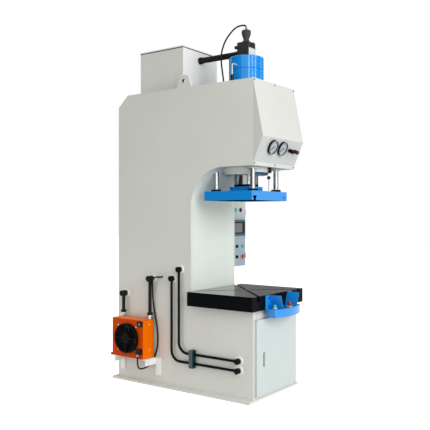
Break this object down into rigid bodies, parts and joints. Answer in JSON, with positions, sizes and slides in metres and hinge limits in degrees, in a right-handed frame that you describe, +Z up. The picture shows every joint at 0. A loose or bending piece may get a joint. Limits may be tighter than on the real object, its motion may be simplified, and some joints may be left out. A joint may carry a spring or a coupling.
{
  "type": "hydraulic press",
  "caption": "C-frame hydraulic press with a vertical ram, rod-guided slide, slotted table, oil cooler, control cabinet and two-hand station.",
  "frame": {"origin": "on the floor under the ram's axis", "axes": "+Z up, -Y towards the operator, +X to the operator's right"},
  "size_m": [1.081, 1.662, 3.1503],
  "materials": {
    "frame_paint": "satin off-white paint",
    "blue_paint": "gloss blue paint",
    "orange_paint": "gloss orange paint",
    "table_iron": "dark machined iron",
    "rod_chrome": "ground and chromed",
    "bright_steel": "bright steel",
    "black_metal": "satin black",
    "black_plastic": "black plastic",
    "hose_rubber": "black rubber",
    "clamp_plastic": "grey-green plastic",
    "core_alloy": "finned alloy",
    "gauge_metal": "bright bezel",
    "panel_paint": "pale blue-grey paint",
    "screen_plastic": "dark screen",
    "lamp_plastic": "lamp lenses",
    "green_plastic": "green plastic",
    "red_plastic": "red plastic",
    "yellow_plastic": "yellow plastic"
  },
  "bodies": {
    "frame": {"base_plate": "frame_paint", "side_plate_left": "frame_paint", "side_plate_right": "frame_paint", "throat_plate": "frame_paint", "head_top_plate": "frame_paint", "rear_panel": "frame_paint", "bed_frame": "frame_paint", "table": "table_iron", "head_cover": "frame_paint", "cylinder_barrel": "blue_paint", "cylinder_flange": "frame_paint", "gland_ring": "blue_paint", "limit_switch": "black_plastic", "ejector_barrel": "bright_steel", "side_pipes": "black_metal", "pipe_heads": "black_metal", "pipe_clamps": "clamp_plastic", "cooler_housing": "orange_paint", "cooler_core": "core_alloy", "fan_shroud": "black_metal", "cooler_brackets": "frame_paint", "cooler_hoses": "hose_rubber", "hose_fittings": "bright_steel", "fan_boxes": "black_plastic", "cooler_cable": "hose_rubber", "tank": "frame_paint", "tank_lid": "frame_paint", "suction_hose": "hose_rubber", "prefill_valve": "black_metal", "valve_plug_head": "black_plastic", "valve_cable": "hose_rubber", "pilot_pipe": "bright_steel", "gauge_cases": "gauge_metal", "station_tray": "blue_paint", "stop_disc": "yellow_plastic", "control_box": "panel_paint", "door_hinges": "frame_paint"},
    "ram": {"slide_plate": "blue_paint", "piston_rod": "rod_chrome", "guide_rods": "rod_chrome", "rod_feet": "black_metal", "trip_rod": "rod_chrome"},
    "ejector": {"ejector_rod": "bright_steel"},
    "front_door": {"door": "frame_paint"},
    "latch": {"latch_lever": "bright_steel"},
    "cabinet_door": {"control_door": "panel_paint", "control_screen": "screen_plastic", "lamps": "lamp_plastic"},
    "selector_a": {"selector_upper": "black_plastic"},
    "selector_b": {"selector_lower": "black_plastic"},
    "start": {"start_button": "green_plastic"},
    "stop": {"stop_button": "red_plastic"},
    "palm_left": {"palm_button_left": "green_plastic"},
    "palm_right": {"palm_button_right": "green_plastic"},
    "estop": {"station_stop": "red_plastic"},
    "needle_a": {"needle_left": "black_plastic"},
    "needle_b": {"needle_right": "black_plastic"},
    "knob_a": {"knob_left": "black_metal"},
    "knob_b": {"knob_right": "black_metal"},
    "fan": {"cooler_fan": "black_plastic"}
  },
  "joints": [
    {"name": "ram_stroke", "type": "slide", "parent": "frame", "child": "ram", "axis": [0, 0, -1], "range_m": [0, 0.5]},
    {"name": "ejector_stroke", "type": "slide", "parent": "frame", "child": "ejector", "axis": [0, 0, 1], "range_m": [0, 0.12]},
    {"name": "front_door_hinge", "type": "hinge", "parent": "frame", "child": "front_door", "pos_m": [0.338, -0.284, 0.35], "axis": [0, 0, 1], "range_deg": [0, 110]},
    {"name": "latch_hinge", "type": "hinge", "parent": "front_door", "child": "latch", "pos_m": [-0.202, -0.301, 0.378], "axis": [-1, 0, 0], "range_deg": [0, 40]},
    {"name": "cabinet_door_hinge", "type": "hinge", "parent": "frame", "child": "cabinet_door", "pos_m": [0.559, 0.374, 1.3215], "axis": [0, 0, 1], "range_deg": [0, 110]},
    {"name": "selector_upper_turn", "type": "hinge", "parent": "cabinet_door", "child": "selector_a", "pos_m": [0.4, 0.371, 1.205], "axis": [0, 1, 0], "range_deg": [-45, 45]},
    {"name": "selector_lower_turn", "type": "hinge", "parent": "cabinet_door", "child": "selector_b", "pos_m": [0.4, 0.371, 1.106], "axis": [0, 1, 0], "range_deg": [-45, 45]},
    {"name": "start_press", "type": "slide", "parent": "cabinet_door", "child": "start", "axis": [0, 1, 0], "range_m": [0, 0.004], "stiffness_N_per_m": 800, "springref_m": -0.004},
    {"name": "stop_press", "type": "slide", "parent": "cabinet_door", "child": "stop", "axis": [0, 1, 0], "range_m": [0, 0.006], "stiffness_N_per_m": 800, "springref_m": -0.004},
    {"name": "palm_left_press", "type": "slide", "parent": "frame", "child": "palm_left", "axis": [0, 0, -1], "range_m": [0, 0.004], "stiffness_N_per_m": 800, "springref_m": -0.004},
    {"name": "palm_right_press", "type": "slide", "parent": "frame", "child": "palm_right", "axis": [0, 0, -1], "range_m": [0, 0.004], "stiffness_N_per_m": 800, "springref_m": -0.004},
    {"name": "emergency_press", "type": "slide", "parent": "frame", "child": "estop", "axis": [0, 0, -1], "range_m": [0, 0.006], "stiffness_N_per_m": 800, "springref_m": -0.004},
    {"name": "needle_left_turn", "type": "hinge", "parent": "frame", "child": "needle_a", "pos_m": [-0.14, -0.34188, 2.057], "axis": [0, 0.9153, 0.4027], "range_deg": [0, 260], "stiffness_Nm_per_rad": 0.02},
    {"name": "needle_right_turn", "type": "hinge", "parent": "frame", "child": "needle_b", "pos_m": [0.016, -0.34188, 2.057], "axis": [0, 0.9153, 0.4027], "range_deg": [0, 260], "stiffness_Nm_per_rad": 0.02},
    {"name": "knob_left_turn", "type": "hinge", "parent": "frame", "child": "knob_a", "pos_m": [0.141, -0.33924, 2.051], "axis": [0, -0.9153, -0.4027], "range_deg": [0, 720]},
    {"name": "knob_right_turn", "type": "hinge", "parent": "frame", "child": "knob_b", "pos_m": [0.228, -0.33924, 2.051], "axis": [0, -0.9153, -0.4027], "range_deg": [0, 720]},
    {"name": "fan_spin", "type": "hinge", "parent": "frame", "child": "fan", "pos_m": [-0.435, 0.9395, 0.411], "axis": [1, 0, 0], "continuous": true}
  ]
}
